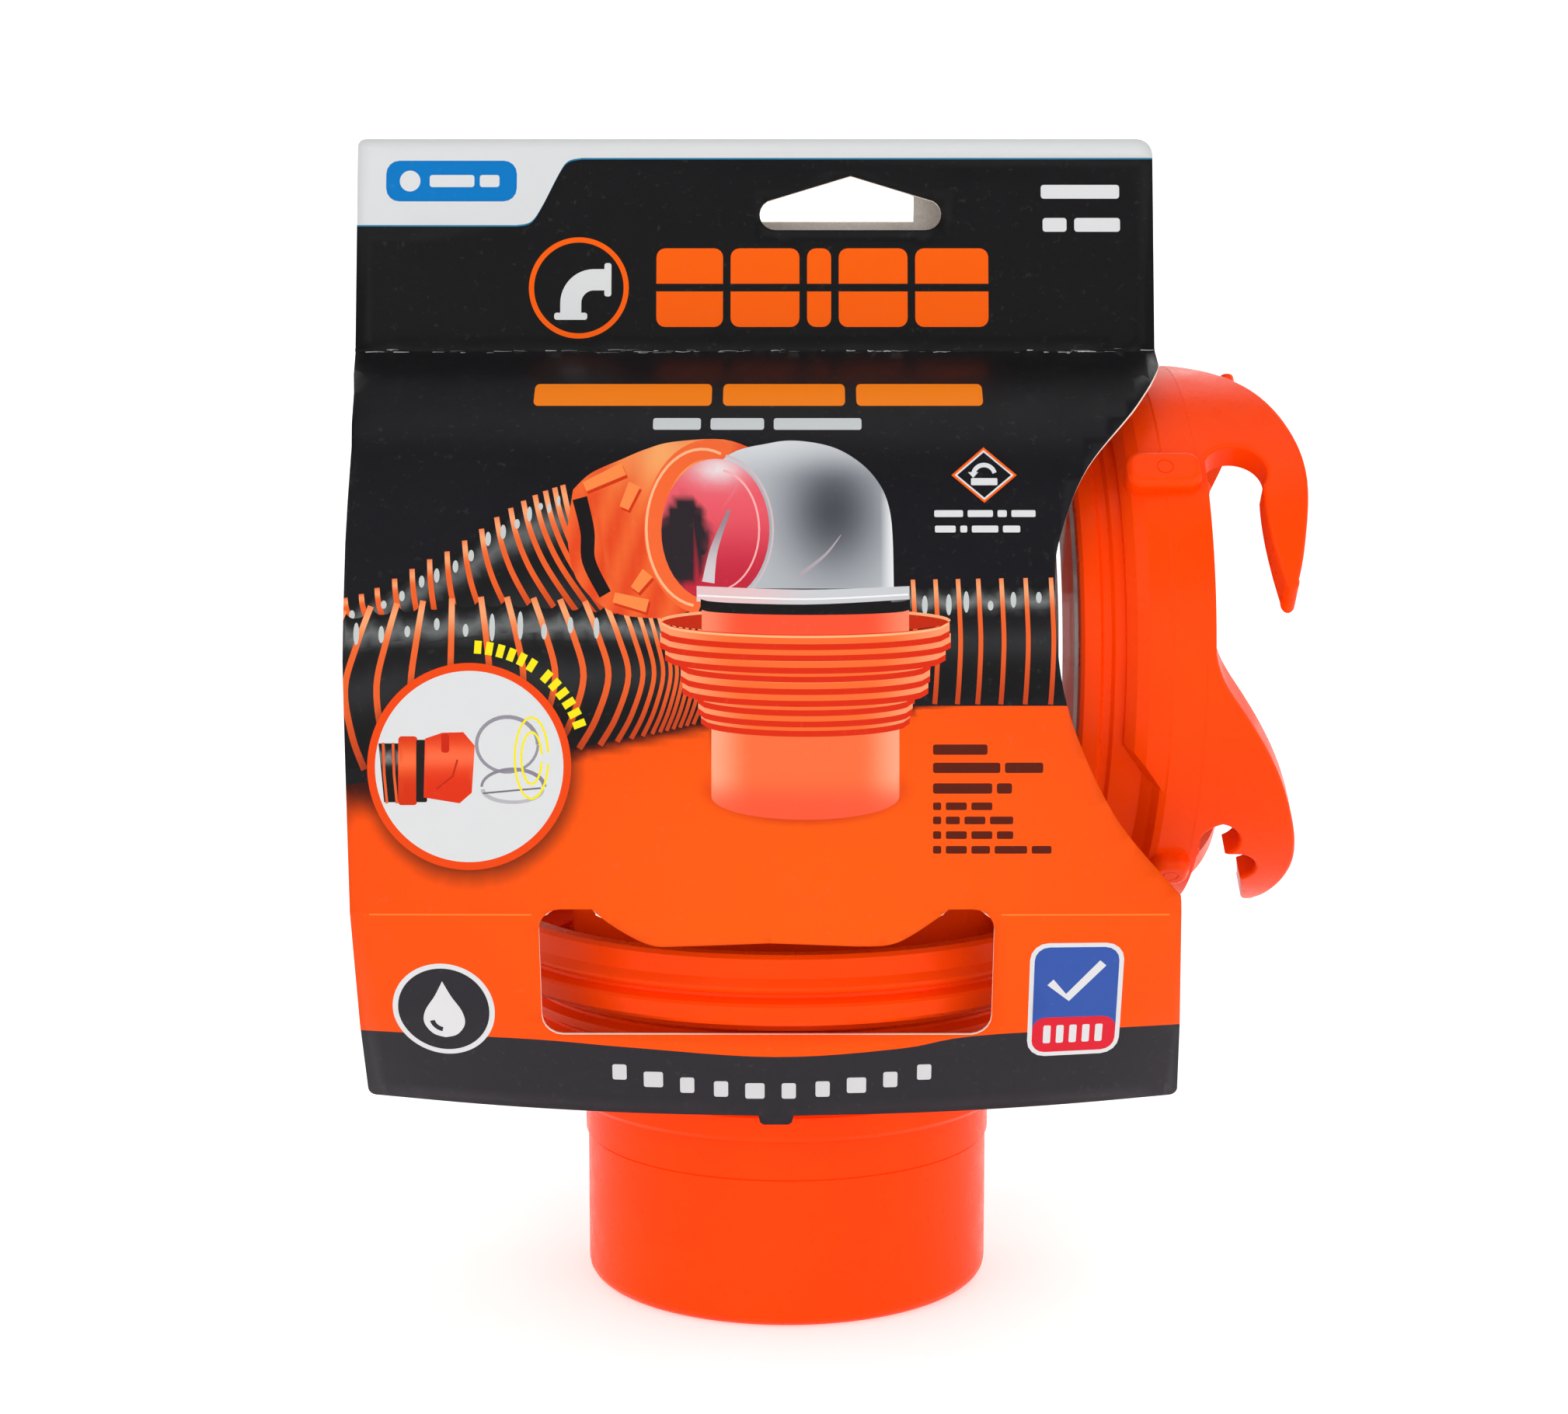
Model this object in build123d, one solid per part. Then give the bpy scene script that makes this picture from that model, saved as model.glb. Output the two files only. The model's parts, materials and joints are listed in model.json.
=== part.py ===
from build123d import *
import os
from math import cos, radians, sin

# Swivel drain elbow with a bayonet hook ring on its outlet and a stepped thread adapter
# below it, packed in a folded hanging card sleeve. Millimetres, +Z up.
# The origin is the centre of the adapter's open end, on the surface it stands on.
# Z is the adapter's axis, and +X is the way the elbow's outlet points.

# ---- stepped adapter -------------------------------------------------------
SPIGOT_R = 38.1
SPIGOT_WALL = 3.6
SPIGOT_EDGE = 2.8
SEAM_Z = 28.2
LIP_R = 42.0
THREAD_3_R = 44.45
THREAD_35_R = 50.8
THREAD_4_R = 57.15
THREAD_DEPTH = 1.7
STEP_35_Z = 50.0
STEP_4_Z = 61.6
RIM_Z = 74.0
RIM_R = 56.0
CUP_R = 52.6
CHAMBER_R = 47.0
THROAT_R = 41.0
SHOULDER_Z = 51.6
LEDGE_LOW = 60.0
LEDGE_TOP = 62.6
LEDGE_R = 42.8
LUG_COUNT = 4
LUG_ARC = 36.0

# ---- elbow and its collar --------------------------------------------------
AXIS_Z = 122.6
PIPE_R = 36.5
PIPE_WALL = 3.0
BEND_R = 37.2
LEG_LOW = 60.0
FLANGE_Z = 84.5
FLANGE_T = 3.5
FLANGE_R = 43.6
GASKET_T = 3.4
OUTLET_FLANGE_X = 45.2
OUTLET_FLANGE_T = 3.4
OUTLET_FLANGE_R = 44.5
STUB_R = 38.0
STUB_END = 59.8

# ---- bayonet ring ----------------------------------------------------------
RING_START = 49.0
RING_BACK = 54.0
SEAT_X = 62.2
BAND_START = 63.4
BAND_END = 72.0
RING_R = 50.5
MOUTH_R = 45.2
POCKET_R = 45.6
POCKET_END = 65.5
HOOK_IN_R = 45.5
NECK_R = 45.9
LOBE_START = 56.8
HOOK_MAX_X = 90.0
HOOK_AIM = 52.0
HOOK_ROUND = 0.7
RIB_R = 52.9
RIB_ANGLE = 41.3
RIB_WIDTH = 7.4
RUNNING_FIT = 0.05

# ---- card sleeve -----------------------------------------------------------
CARD_T = 0.7
BACK_SLACK = 4.0
CARD_TWIST = -3.5
CARD_TOP = 214.6
FOLD_Y = 9.5
FOLD_Z = 176.4
CREASE_Y = 58.8
CREASE_Z = 82.5
WINDOW_LOW = 59.4
CARD_LOW = 44.2
CARD_LEFT_TOP = -78.9
CARD_LEFT_LOW = -75.4
CARD_RIGHT_TOP = 67.4
CARD_RIGHT_LOW = 70.8


def turned(outline):
    """Solid of revolution about Z from (radius, height) points."""
    return revolve(make_face(Plane.XZ * Polyline(*outline, close=True)), Axis.Z)


def turned_on_outlet(outline):
    """Solid of revolution about the outlet's axis from (x, radius) points."""
    profile = make_face(Plane.XZ * Polyline(*outline, close=True))
    return Pos(0, 0, AXIS_Z) * revolve(profile, Axis.X)


def wedge(radius, low, high, centre, arc):
    """Upright sector about Z, used to keep or cut one arc of a ring."""
    start = radians(centre - arc / 2)
    end = radians(centre + arc / 2)
    middle = radians(centre)
    first = (radius * cos(start), radius * sin(start))
    top = (1.3 * radius * cos(middle), 1.3 * radius * sin(middle))
    last = (radius * cos(end), radius * sin(end))
    face = make_face(Polyline((0, 0), first, top, last, close=True))
    return Pos(0, 0, low) * extrude(face, high - low, dir=(0, 0, 1))


# ---- stepped adapter -------------------------------------------------------
def thread_ridges(crest, high, count, pitch):
    """Outline points of rounded thread ridges, from the highest one down."""
    points = []
    for turn in range(count):
        z = high - turn * pitch
        points += [(crest - THREAD_DEPTH, z), (crest - 0.2, z - 0.9), (crest, z - 1.3)]
        points += [(crest, z - pitch + 1.5), (crest - THREAD_DEPTH, z - pitch + 0.5)]
    return points


def stepped_adapter():
    outside = [(CUP_R, RIM_Z), (RIM_R - 0.7, RIM_Z), (RIM_R, RIM_Z - 0.7), (RIM_R, 69.9)]
    outside += [(THREAD_4_R - 0.15, 68.5), (THREAD_4_R, 68.0), (THREAD_4_R - 0.5, 67.5)]
    outside += [(55.2, 66.9), (55.2, 66.3), (THREAD_4_R - 0.4, 65.5), (THREAD_4_R, 65.0)]
    outside += [(THREAD_4_R, 62.4), (THREAD_4_R - 0.8, STEP_4_Z)]
    outside += thread_ridges(THREAD_35_R, STEP_4_Z, 3, 3.8)
    outside += [(THREAD_35_R - 0.8, STEP_35_Z)]
    outside += thread_ridges(THREAD_3_R, STEP_35_Z, 2, 4.0)
    outside += [(LIP_R - 0.6, 41.4), (LIP_R, 40.8), (LIP_R - 0.3, 37.0), (LIP_R - 0.9, 36.2)]
    outside += [(SPIGOT_R + 0.5, 35.6), (SPIGOT_R + 0.4, SEAM_Z + 0.25)]
    outside += [(SPIGOT_R - 0.15, SEAM_Z + 0.1), (SPIGOT_R - 0.15, SEAM_Z - 0.1)]
    outside += [(SPIGOT_R, SEAM_Z - 0.25), (SPIGOT_R, SPIGOT_EDGE)]
    for step in (20, 40, 60, 80):
        turn = radians(step)
        flat = SPIGOT_R - SPIGOT_EDGE + SPIGOT_EDGE * cos(turn)
        outside += [(flat, SPIGOT_EDGE - SPIGOT_EDGE * sin(turn))]
    outside += [(SPIGOT_R - SPIGOT_EDGE + 0.1, 0), (SPIGOT_R - SPIGOT_WALL, 0)]
    inside = [(SPIGOT_R - SPIGOT_WALL, 38.0)]
    inside += [(THROAT_R, 42.5), (THROAT_R, SHOULDER_Z), (CHAMBER_R, SHOULDER_Z)]
    inside += [(CHAMBER_R, LEDGE_TOP + 0.8), (CUP_R, LEDGE_TOP + 3.0)]
    body = turned(outside + inside)
    for corner in range(LUG_COUNT):
        ledge = turned([(LEDGE_R, LEDGE_LOW), (CHAMBER_R + 1, LEDGE_LOW),
                        (CHAMBER_R + 1, LEDGE_TOP), (LEDGE_R, LEDGE_TOP)])
        body += ledge & wedge(60, 55, 68, 45 + 90 * corner, LUG_ARC)
    return body


def adapter_seal():
    """Flat lip seal on the adapter's shoulder, under the end of the collar."""
    return turned([(39.8, SHOULDER_Z + 0.9), (39.8, SHOULDER_Z + 1.6), (41.4, SHOULDER_Z + 1.9),
                   (46.2, SHOULDER_Z + 1.9), (CHAMBER_R - 0.1, SHOULDER_Z + 1.4),
                   (CHAMBER_R - 0.1, SHOULDER_Z), (THROAT_R + 0.2, SHOULDER_Z)])


# ---- elbow -----------------------------------------------------------------
def bent_tube(radius):
    """Round bar along the elbow's centre line: up, a tight quarter turn, and out."""
    up = Line((0, 0, LEG_LOW), (0, 0, AXIS_Z - BEND_R))
    bend = ThreePointArc((0, 0, AXIS_Z - BEND_R),
                         (BEND_R * (1 - cos(radians(45))), 0,
                          AXIS_Z - BEND_R * (1 - sin(radians(45)))),
                         (BEND_R, 0, AXIS_Z))
    out = Line((BEND_R, 0, AXIS_Z), (STUB_END + 5, 0, AXIS_Z))
    path = Wire([up, bend, out])
    return sweep(Plane.XY.offset(LEG_LOW) * Circle(radius), path=path)


def clear_elbow():
    outer = bent_tube(PIPE_R)
    outer += turned([(0, FLANGE_Z), (FLANGE_R - 0.5, FLANGE_Z), (FLANGE_R, FLANGE_Z + 0.5),
                     (FLANGE_R, FLANGE_Z + FLANGE_T - 0.8), (FLANGE_R - 0.8, FLANGE_Z + FLANGE_T),
                     (0, FLANGE_Z + FLANGE_T)])
    outer += turned_on_outlet([(38, 0), (38, PIPE_R), (41.5, STUB_R), (OUTLET_FLANGE_X, STUB_R),
                               (OUTLET_FLANGE_X, OUTLET_FLANGE_R - 0.6),
                               (OUTLET_FLANGE_X + 0.6, OUTLET_FLANGE_R),
                               (OUTLET_FLANGE_X + OUTLET_FLANGE_T, OUTLET_FLANGE_R),
                               (OUTLET_FLANGE_X + OUTLET_FLANGE_T, STUB_R),
                               (50.4, STUB_R), (50.4, PIPE_R), (52.8, PIPE_R), (52.8, STUB_R),
                               (54.3, STUB_R), (54.3, PIPE_R), (56.3, PIPE_R), (56.3, STUB_R),
                               (STUB_END - 0.8, STUB_R), (STUB_END, STUB_R - 0.8), (STUB_END, 0)])
    beyond = Pos(STUB_END + 10, 0, AXIS_Z) * Box(20, 120, 120)
    return outer - beyond - bent_tube(PIPE_R - PIPE_WALL)


def elbow_collar():
    """Orange collar under the elbow, with lugs that lock below the adapter's ledges."""
    top = FLANGE_Z - GASKET_T
    collar = turned([(PIPE_R, top), (42.0, top), (42.5, top - 0.6), (42.5, top - 2.0),
                     (40.8, top - 2.8), (40.6, 57.4), (42.0, 56.4), (42.0, 53.9), (41.6, 53.6),
                     (35.6, 53.6), (35.0, 54.2), (35.0, 59.4), (PIPE_R, 59.8)])
    lug = turned([(38, 56.2), (46.0, 56.2), (46.4, 56.6), (46.4, 59.3), (46.0, 59.7), (38, 59.7)])
    bore = turned([(0, 50), (38.5, 50), (38.5, 65), (0, 65)])
    for corner in range(LUG_COUNT):
        collar += (lug & wedge(60, 50, 68, 45 + 90 * corner, LUG_ARC - 2)) - bore
    return collar


def collar_gasket():
    low = FLANGE_Z - GASKET_T
    return turned([(PIPE_R + 0.1, low), (42.4, low), (42.9, low + 0.6), (42.9, FLANGE_Z - 0.5),
                   (42.5, FLANGE_Z), (PIPE_R + 0.1, FLANGE_Z)])


def swivel_seal():
    return turned_on_outlet([(50.6, PIPE_R), (52.6, PIPE_R), (52.6, 37.5), (52.1, STUB_R),
                             (51.1, STUB_R), (50.6, 37.5)])


def swivel_retainer():
    """Split snap ring that keeps the bayonet ring on the elbow."""
    whole = turned_on_outlet([(54.35, PIPE_R), (56.25, PIPE_R), (56.25, 41.2), (54.35, 41.2)])
    return whole - Pos(55.3, 0, AXIS_Z + 40) * Box(6, 9, 20)


# ---- bayonet ring ----------------------------------------------------------
def radial_plane(angle):
    """Plane facing out at an angle from the front, with x along the outlet and y upwards."""
    facing = (0, -cos(radians(angle)), sin(radians(angle)))
    return Plane(origin=(0, 0, AXIS_Z), x_dir=(1, 0, 0), z_dir=facing)


def on_wall(x, angle):
    """Flat position of a point on the ring's outside, seen along the hook's aim."""
    return (x, RING_R * sin(radians(angle - HOOK_AIM)))


def hook_back():
    """Outer edge of a hook, from its root on the band round to its tip."""
    edge = Spline(on_wall(BAND_END, 94), on_wall(76.8, 82), on_wall(83.5, 69.5),
                  on_wall(88.2, 55), on_wall(HOOK_MAX_X, 41), on_wall(88.5, 27),
                  on_wall(86.9, 18.8), tangents=[(0.15, -1), (-0.35, -1)])
    tip = ThreePointArc(on_wall(86.9, 18.8), on_wall(85.4, 16.5), on_wall(84.3, 18.4))
    return [edge, tip]


def plain_hook():
    edges = hook_back()
    edges += [Spline(on_wall(84.3, 18.4), on_wall(82.5, 27), on_wall(81.9, 39))]
    edges += [ThreePointArc(on_wall(81.9, 39), on_wall(77.2, 49), on_wall(72.6, 39))]
    edges += [Line(on_wall(72.6, 39), on_wall(70.5, 37)), Line(on_wall(70.5, 37), on_wall(70.5, 97))]
    edges += [Line(on_wall(70.5, 97), on_wall(BAND_END, 94))]
    return make_face(edges)


def detent_hook():
    """The same hook with two stepped scallops in its slot."""
    edges = hook_back()
    edges += [Line(on_wall(84.3, 18.4), on_wall(81.4, 34.5))]
    edges += [ThreePointArc(on_wall(81.4, 34.5), on_wall(83.4, 40), on_wall(80.4, 44.6))]
    edges += [Line(on_wall(80.4, 44.6), on_wall(77.2, 44.8))]
    edges += [ThreePointArc(on_wall(77.2, 44.8), on_wall(79.1, 50), on_wall(75.6, 54.4))]
    edges += [ThreePointArc(on_wall(75.6, 54.4), on_wall(73.2, 52.6), on_wall(72.4, 46))]
    edges += [Line(on_wall(72.4, 46), on_wall(70.5, 40)), Line(on_wall(70.5, 40), on_wall(70.5, 97))]
    edges += [Line(on_wall(70.5, 97), on_wall(BAND_END, 94))]
    return make_face(edges)


def out_from_axis(point):
    return ((point.Y ** 2 + (point.Z - AXIS_Z) ** 2) ** 0.5)


def softened(hook):
    """Round the hook's outer and inner rims, past the band's edge."""
    rims = []
    for edge in hook.edges():
        middle = edge @ 0.5
        ends = [edge @ 0, edge @ 1]
        level = [abs(out_from_axis(p) - RING_R) < 0.01 for p in [middle] + ends]
        if all(level) and min(p.X for p in ends) > BAND_END - 0.2:
            rims.append(edge)
    return fillet(rims, HOOK_ROUND)


def hooks():
    """Four hooks, a quarter turn apart, plain and stepped in turn."""
    wall = turned_on_outlet([(70, HOOK_IN_R), (HOOK_MAX_X + 2, HOOK_IN_R), (HOOK_MAX_X + 2, RING_R),
                             (70, RING_R)])
    group = []
    for place in range(4):
        face = plain_hook() if place % 2 == 0 else detent_hook()
        plane = radial_plane(HOOK_AIM)
        hook = softened(wall & extrude(plane * face, 70, dir=plane.z_dir))
        group.append(Pos(0, 0, AXIS_Z) * Rot(90 * place, 0, 0) * Pos(0, 0, -AXIS_Z) * hook)
    return group


def grip_lobe(angle):
    """Raised pad on the neck that widens the band towards the elbow."""
    half = [(LOBE_START, 34), (BAND_START + 1, 47)]
    points = [(x, RING_R * sin(radians(a))) for x, a in half]
    points += [(x, -y) for x, y in reversed(points)]
    plane = radial_plane(angle)
    post = extrude(plane * make_face(Polyline(*points, close=True)), 70, dir=plane.z_dir)
    pad = turned_on_outlet([(LOBE_START, POCKET_R + 0.1), (LOBE_START, 47.2), (58.4, 49.1),
                            (60.5, 49.9), (BAND_START + 1, 50.2), (BAND_START + 1, POCKET_R + 0.1)])
    return pad & post


def grip_rib(angle, start):
    """Rounded rib along the outlet, with a moulding pin's ring mark on top."""
    length = 70.9 - start
    plane = radial_plane(angle).offset(MOUTH_R + 0.6)
    place = plane * Pos((start + 70.9) / 2, 0, 0)
    rib = extrude(place * RectangleRounded(length, RIB_WIDTH, 2.6), RIB_R - MOUTH_R - 0.6)
    top = rib.faces().sort_by(Axis(origin=(0, 0, 0), direction=plane.z_dir))[-1]
    rib = fillet(top.edges(), 1.4)
    ring_mark = Circle(1.5) - Circle(1.3)
    return rib - extrude(place * Pos(0, 0, RIB_R - MOUTH_R - 0.75) * ring_mark, 1)


def bayonet_ring():
    shell = [(RING_START, STUB_R + RUNNING_FIT), (RING_START, NECK_R - 0.6),
             (RING_START + 0.6, NECK_R), (52.4, NECK_R), (53.0, NECK_R - 0.7),
             (54.4, NECK_R - 0.7), (55.0, NECK_R), (60.6, NECK_R + 0.3), (62.4, 48.0),
             (BAND_START, 49.9), (64.6, 50.3), (BAND_END, RING_R), (BAND_END, MOUTH_R),
             (POCKET_END, MOUTH_R), (POCKET_END, POCKET_R), (SEAT_X, POCKET_R), (SEAT_X, 42.4),
             (RING_BACK, 42.4), (RING_BACK, STUB_R + RUNNING_FIT)]
    ring = turned_on_outlet(shell)
    for lobe in (20, 200):
        ring += grip_lobe(lobe)
    for turn, start in ((0, 57.6), (1, 63.8), (2, 57.6), (3, 63.8)):
        ring += grip_rib(RIB_ANGLE + 90 * turn, start)
    for hook in hooks():
        ring += hook
    return ring


def mouth_gasket():
    return turned_on_outlet([(SEAT_X, 36.4), (SEAT_X + 1.1, 36.0), (SEAT_X + 3.1, 37.2),
                             (SEAT_X + 3.1, 43.9), (SEAT_X + 2.3, POCKET_R), (SEAT_X, POCKET_R)])


# ---- card sleeve -----------------------------------------------------------
def side_at(z, top, low):
    """The sleeve leans a little, so its upright edges slope between their two ends."""
    share = min(1, (z - CARD_LOW) / (FOLD_Z - CARD_LOW))
    return low + (top - low) * share


def through(face):
    """Cutter that passes through the whole sleeve from front to back."""
    return extrude(Plane.XZ * face, 100, both=True)


def upper_outline(side, start):
    """Profile of a panel from near the header's fold over the ring and out to the crease.

    The back panel stands out further, because the ring sits towards that side of the sleeve.
    """
    slack = BACK_SLACK if side > 0 else 0
    return [(side * (FOLD_Y + start), FOLD_Z - 0.36 * start),
            (side * 26.8 + 0.85 * slack, 170.2 + 0.18 * slack), (side * 38.4 + slack, 161.0),
            (side * 45.4 + 0.75 * slack, 145.0), (side * 51.6 + 0.3 * slack, 123.7),
            (side * CREASE_Y, CREASE_Z),
            (side * (CREASE_Y - 0.7), CREASE_Z - 1.5)]


def sheet_along_x(profile, side, left, right):
    """Board of even thickness on a (y, z) profile, spanning left to right."""
    inner = [(y, z) for y, z in profile]
    outer = [(y + side * CARD_T * 0.75, z + CARD_T * 0.5) for y, z in reversed(profile)]
    face = make_face(Plane.YZ * Polyline(*inner, *outer, close=True))
    return Pos(left, 0, 0) * extrude(face, right - left, dir=(1, 0, 0))


def bowed_section(side, corner_y, middle_y, z):
    """Level slice of the bowed lower panel: an arc in plan with the board's thickness."""
    left = side_at(z, CARD_LEFT_TOP, CARD_LEFT_LOW)
    right = side_at(z, CARD_RIGHT_TOP, CARD_RIGHT_LOW)
    middle = (left + right) / 2
    outer_y = corner_y + CARD_T
    edges = [ThreePointArc((left, side * corner_y), (middle, side * middle_y), (right, side * corner_y)),
             Line((right, side * corner_y), (right, side * outer_y)),
             ThreePointArc((right, side * outer_y), (middle, side * (middle_y + CARD_T)),
                           (left, side * outer_y)),
             Line((left, side * outer_y), (left, side * corner_y))]
    return Pos(0, 0, z) * make_face(edges)


def lower_panel(side):
    """Panel below the crease, which bows out round the threads."""
    sections = [bowed_section(side, CREASE_Y, CREASE_Y + 0.3, CREASE_Z),
                bowed_section(side, 49.4, 55.6, WINDOW_LOW + 3),
                bowed_section(side, 36.8, 51.2, CARD_LOW)]
    return loft(sections[0:2], ruled=True) + loft(sections[1:3], ruled=True)


def side_cut():
    """Concave cut-away that lets the bayonet ring stand out of the sleeve."""
    curve = Spline((CARD_RIGHT_TOP, 174.2), (61.9, 168.1), (52.4, 157.7), (47.4, 146.0),
                   (46.4, 137.0), (47.3, 122.7), (50.6, 111.0), (57.4, 97.6), (68.6, 85.4))
    outside = Polyline((68.6, 85.4), (100, 85.4), (100, 174.2), (CARD_RIGHT_TOP, 174.2))
    return through(make_face([curve] + outside.edges()))


def window_cut(with_tongue):
    """Window that the widest threads stand in, with a tongue hanging from its top edge."""
    opening = Pos(-3.5, (WINDOW_LOW + 83.0) / 2) * RectangleRounded(78.6, 83.0 - WINDOW_LOW, 3.6)
    if with_tongue:
        tongue = make_face([Polyline((-24.4, 76.4), (-34.4, 83.6), (28.8, 83.6), (18.6, 76.4)),
                            ThreePointArc((18.6, 76.4), (-2.9, 77.4), (-24.4, 76.4))])
        opening -= tongue
    return through(opening)


def hang_hole():
    slot = Pos(11.7, 201.4) * SlotOverall(33.2, 5.6)
    gable = make_face(Polyline((-3.6, 203.9), (11.7, 208.2), (27.0, 203.9), (27.0, 201.4),
                               (-3.6, 201.4), close=True))
    return through(slot + gable)


def header_layer(side, gap):
    """One layer of the header, leaning in to meet the other at the top edge."""
    profile = [(side * FOLD_Y, FOLD_Z + gap), (side * 0.1, CARD_TOP)]
    return sheet_along_x(profile, side, CARD_LEFT_TOP, CARD_RIGHT_TOP)


def twisted(shape):
    return Rot(0, 0, CARD_TWIST) * shape


def upper_panel(side, start):
    sheet = sheet_along_x(upper_outline(side, start), side, CARD_LEFT_TOP, CARD_RIGHT_LOW)
    z_low = CREASE_Z - 5
    sides = make_face(Polyline((CARD_LEFT_TOP, FOLD_Z + 5), (CARD_LEFT_LOW, z_low),
                               (CARD_RIGHT_LOW, z_low), (CARD_RIGHT_TOP, FOLD_Z + 5), close=True))
    return sheet & through(sides)


def card_header():
    return twisted(header_layer(-1, 0.4) - hang_hole())


def card_front():
    panel = upper_panel(-1, 1.0) + lower_panel(-1)
    return twisted(panel - side_cut() - window_cut(True))


def card_back():
    panel = upper_panel(1, -0.4) + lower_panel(1) + header_layer(1, -0.6)
    return twisted(panel - side_cut() - window_cut(False) - hang_hole())


def card_bottom():
    """Bottom panel between the two faces, with a round hole for the adapter."""
    left = CARD_LEFT_LOW + 0.6
    right = CARD_RIGHT_LOW - 0.6
    middle = (left + right) / 2
    edges = [ThreePointArc((left, -36.2), (middle, -50.4), (right, -36.2)),
             Line((right, -36.2), (right, 36.2)),
             ThreePointArc((right, 36.2), (middle, 50.4), (left, 36.2)),
             Line((left, 36.2), (left, -36.2))]
    panel = Pos(0, 0, CARD_LOW + 0.2) * extrude(make_face(edges), CARD_T, dir=(0, 0, 1))
    hole = Pos(0, 0, CARD_LOW) * Cylinder(THREAD_3_R + 0.5, 6)
    return twisted(panel) - hole


def build():
    return {
        "stepped_adapter": stepped_adapter(),
        "adapter_seal": adapter_seal(),
        "elbow_collar": elbow_collar(),
        "collar_gasket": collar_gasket(),
        "clear_elbow": clear_elbow(),
        "swivel_seal": swivel_seal(),
        "swivel_retainer": swivel_retainer(),
        "bayonet_ring": bayonet_ring(),
        "mouth_gasket": mouth_gasket(),
        "card_header": card_header(),
        "card_front": card_front(),
        "card_back": card_back(),
        "card_bottom": card_bottom(),
    }


os.makedirs("parts", exist_ok=True)
for node, shape in build().items():
    export_step(shape, f"parts/{node}.step")
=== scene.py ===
import json
import random
from math import atan2, cos, exp, hypot, pi, radians, sin, sqrt

import bpy
import numpy as np
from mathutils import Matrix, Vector
from mathutils.geometry import delaunay_2d_cdt


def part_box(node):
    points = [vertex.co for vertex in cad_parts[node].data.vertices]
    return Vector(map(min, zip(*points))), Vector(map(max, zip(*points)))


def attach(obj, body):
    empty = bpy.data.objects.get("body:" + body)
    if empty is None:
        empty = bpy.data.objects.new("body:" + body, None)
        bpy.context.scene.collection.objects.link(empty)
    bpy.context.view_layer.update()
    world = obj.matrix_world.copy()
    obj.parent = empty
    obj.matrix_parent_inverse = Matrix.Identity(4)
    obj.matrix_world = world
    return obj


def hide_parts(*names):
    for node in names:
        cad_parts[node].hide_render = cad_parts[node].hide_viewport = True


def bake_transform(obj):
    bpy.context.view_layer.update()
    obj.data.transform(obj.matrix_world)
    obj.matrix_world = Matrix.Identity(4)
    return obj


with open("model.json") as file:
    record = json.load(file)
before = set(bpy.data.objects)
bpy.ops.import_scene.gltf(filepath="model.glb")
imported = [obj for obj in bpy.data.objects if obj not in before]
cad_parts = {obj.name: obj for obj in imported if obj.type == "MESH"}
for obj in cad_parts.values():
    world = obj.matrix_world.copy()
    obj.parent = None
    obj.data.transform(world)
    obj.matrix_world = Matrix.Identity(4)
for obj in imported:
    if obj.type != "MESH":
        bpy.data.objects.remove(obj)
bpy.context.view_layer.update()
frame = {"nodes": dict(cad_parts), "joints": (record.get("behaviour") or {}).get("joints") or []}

# The sleeve is drawn flat in millimetres, as (x, z): x across the sleeve, z the height
# that each point has once the board is bent round the fitting. Its own axes come from the
# flap's hinge, which lies along the header's fold.
MM = 0.001
FLAP = next(j for j in frame["joints"] if j["name"] == "flap_fold")
ACROSS = -Vector(FLAP["axis"]).normalized()
INWARD = Vector((-ACROSS.y, ACROSS.x, 0))
FOLD_Z = FLAP["pos_m"][2] / MM
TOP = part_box("card_header")[1].z / MM
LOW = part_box("card_front")[0].z / MM
CREASE_Z = 82.5
# The board's thickness, and the share of each drawn colour that its ink reflects.
BOARD = 0.6
INK = 0.86
LEFT_TOP, LEFT_LOW = -78.9, -75.5
RIGHT_TOP, RIGHT_LOW = 67.2, 70.4
LEFT_EDGE = ((LOW, LEFT_LOW), (CREASE_Z, -75.3), (125, -76.7), (145, -76.6), (161, -76.1),
             (170, -76.9), (FOLD_Z, LEFT_TOP), (TOP, -79.1))
RIGHT_EDGE = ((LOW, RIGHT_LOW), (CREASE_Z, 68.0), (FOLD_Z, RIGHT_TOP), (TOP, RIGHT_TOP))


# ---- flat shapes -------------------------------------------------------------
def mix(a, b, share):
    share = min(1, max(0, share))
    return tuple(p + (q - p) * share for p, q in zip(a, b))


def ease(low, high, value):
    share = min(1, max(0, (value - low) / (high - low)))
    return share * share * (3 - 2 * share)


def ellipse(x, z, rx, rz=None, start=0, end=360, steps=40):
    """Points of an ellipse or of one arc of it, angles from +x towards +z."""
    rz = rx if rz is None else rz
    closed = end - start >= 360
    count = steps if closed else steps + 1
    angles = [radians(start + (end - start) * i / steps) for i in range(count)]
    return [(x + rx * cos(a), z + rz * sin(a)) for a in angles]


def rounded(x0, z0, x1, z1, radius):
    """Rectangle with round corners."""
    corners = [(x1 - radius, z0 + radius, -90), (x1 - radius, z1 - radius, 0),
               (x0 + radius, z1 - radius, 90), (x0 + radius, z0 + radius, 180)]
    points = []
    for x, z, turn in corners:
        points += ellipse(x, z, radius, start=turn, end=turn + 90, steps=4)
    return points


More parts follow.
